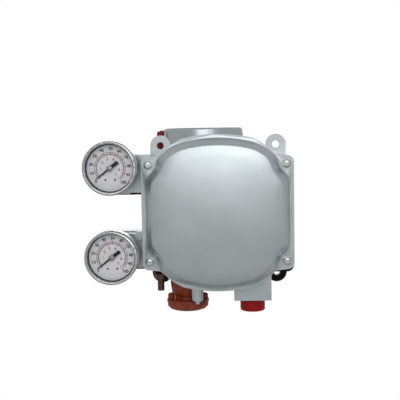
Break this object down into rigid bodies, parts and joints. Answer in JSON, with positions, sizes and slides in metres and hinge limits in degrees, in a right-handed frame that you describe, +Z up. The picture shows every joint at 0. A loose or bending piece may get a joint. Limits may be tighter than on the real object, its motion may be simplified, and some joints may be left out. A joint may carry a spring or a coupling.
{
  "type": "valve positioner",
  "caption": "Pneumatic valve positioner: crowned square cover on an eared case, round transmitter housing behind, dial gauges at the side, pilot relay and conduit entry below.",
  "frame": {"origin": "centre of the ear hole pattern on the rear mounting face", "axes": "+Z up, +X to the right seen from the cover side, +Y out of the mounting face"},
  "size_m": [0.1895, 0.1554, 0.1725],
  "materials": {
    "grey_paint": "satin silver-grey enamel",
    "seal_rubber": "matt black",
    "plated_steel": "zinc plated",
    "red_plug": "moulded, satin",
    "black_steel": "blackened",
    "primer": "red-brown primer",
    "machined_steel": "machined",
    "spring_steel": "drawn wire",
    "brass": "machined",
    "copper_wire": "enamelled winding",
    "black_plastic": "moulded",
    "can_paint": "gloss black",
    "bezel_steel": "polished",
    "window": "clear",
    "dial_white": "matt white with printed scales",
    "pointer_black": "matt black",
    "hub_steel": "polished"
  },
  "bodies": {
    "case": {"case": "grey_paint", "front_cover": "grey_paint", "transmitter_housing": "grey_paint", "transmitter_lid": "grey_paint", "upper_gauge_block": "grey_paint", "lower_gauge_block": "grey_paint", "exhaust_vent": "grey_paint", "cover_gasket": "seal_rubber", "lid_seal": "seal_rubber", "cover_screws": "plated_steel", "housing_screws": "plated_steel", "gauge_block_screws": "plated_steel", "upper_conduit_plug": "red_plug", "lower_conduit_plug": "red_plug", "earth_stud": "black_steel", "earth_nut": "black_steel", "pilot_body": "primer", "pilot_cap": "primer", "pilot_screws": "primer", "arm_pivot_post": "machined_steel", "beam_pivot_post": "machined_steel", "zero_bracket": "machined_steel", "coil_core": "machined_steel", "pilot_spring": "spring_steel", "range_spring": "spring_steel", "zero_spring": "spring_steel", "upper_socket": "brass", "lower_socket": "brass", "upper_bourdon_tube": "brass", "lower_bourdon_tube": "brass", "shaft_bush": "brass", "input_capsule": "brass", "terminal_screws": "brass", "coil": "copper_wire", "terminal_block": "black_plastic", "upper_can": "can_paint", "lower_can": "can_paint", "upper_bezel": "bezel_steel", "lower_bezel": "bezel_steel", "upper_window": "window", "lower_window": "window", "upper_dial": "dial_white", "lower_dial": "dial_white"},
    "feedback": {"feedback_shaft": "machined_steel", "shaft_ring": "machined_steel", "cam": "machined_steel", "cam_nut": "machined_steel"},
    "follower": {"follower_arm": "machined_steel", "roller_pin": "machined_steel"},
    "roller": {"follower_roller": "brass"},
    "beam": {"balance_beam": "machined_steel"},
    "spool": {"pilot_spool": "machined_steel"},
    "upper_needle": {"upper_pointer": "pointer_black", "upper_pointer_hub": "hub_steel"},
    "lower_needle": {"lower_pointer": "pointer_black", "lower_pointer_hub": "hub_steel"},
    "zero": {"zero_knob": "brass"}
  },
  "joints": [
    {"name": "feedback_turn", "type": "hinge", "parent": "case", "child": "feedback", "pos_m": [0, 0, -0.014], "axis": [0, 1, 0], "range_deg": [-35, 35]},
    {"name": "follower_swing", "type": "hinge", "parent": "case", "child": "follower", "pos_m": [-0.044, 0, 0.012], "axis": [0, 1, 0], "range_deg": [-5.4, 5.4], "deforming": ["range_spring"]},
    {"name": "roller_spin", "type": "hinge", "parent": "follower", "child": "roller", "pos_m": [0, 0, 0.012], "axis": [0, 1, 0], "range_deg": [-145, 145]},
    {"name": "beam_tilt", "type": "hinge", "parent": "case", "child": "beam", "pos_m": [-0.008, 0, -0.036], "axis": [0, 1, 0], "range_deg": [-2, 2], "stiffness_Nm_per_rad": 0.5, "deforming": ["zero_spring"]},
    {"name": "spool_slide", "type": "slide", "parent": "case", "child": "spool", "axis": [0, 0, 1], "range_m": [-0.0008, 0.0008], "deforming": ["pilot_spring"]},
    {"name": "upper_pointer_turn", "type": "hinge", "parent": "case", "child": "upper_needle", "pos_m": [-0.0957, 0, 0.0428], "axis": [0, 1, 0], "range_deg": [0, 270], "stiffness_Nm_per_rad": 0.001},
    {"name": "lower_pointer_turn", "type": "hinge", "parent": "case", "child": "lower_needle", "pos_m": [-0.0957, 0, -0.0377], "axis": [0, 1, 0], "range_deg": [0, 270], "stiffness_Nm_per_rad": 0.001},
    {"name": "zero_turn", "type": "hinge", "parent": "case", "child": "zero", "pos_m": [0.046, -0.019, -0.006], "axis": [0, 0, 1], "range_deg": [-180, 180]}
  ],
  "couplings": [
    {"joint": "follower_swing", "follows": "feedback_turn", "ratio": -0.149},
    {"joint": "roller_spin", "follows": "feedback_turn", "ratio": -4.1},
    {"joint": "spool_slide", "follows": "beam_tilt", "m_per_rad": 0.0222}
  ]
}
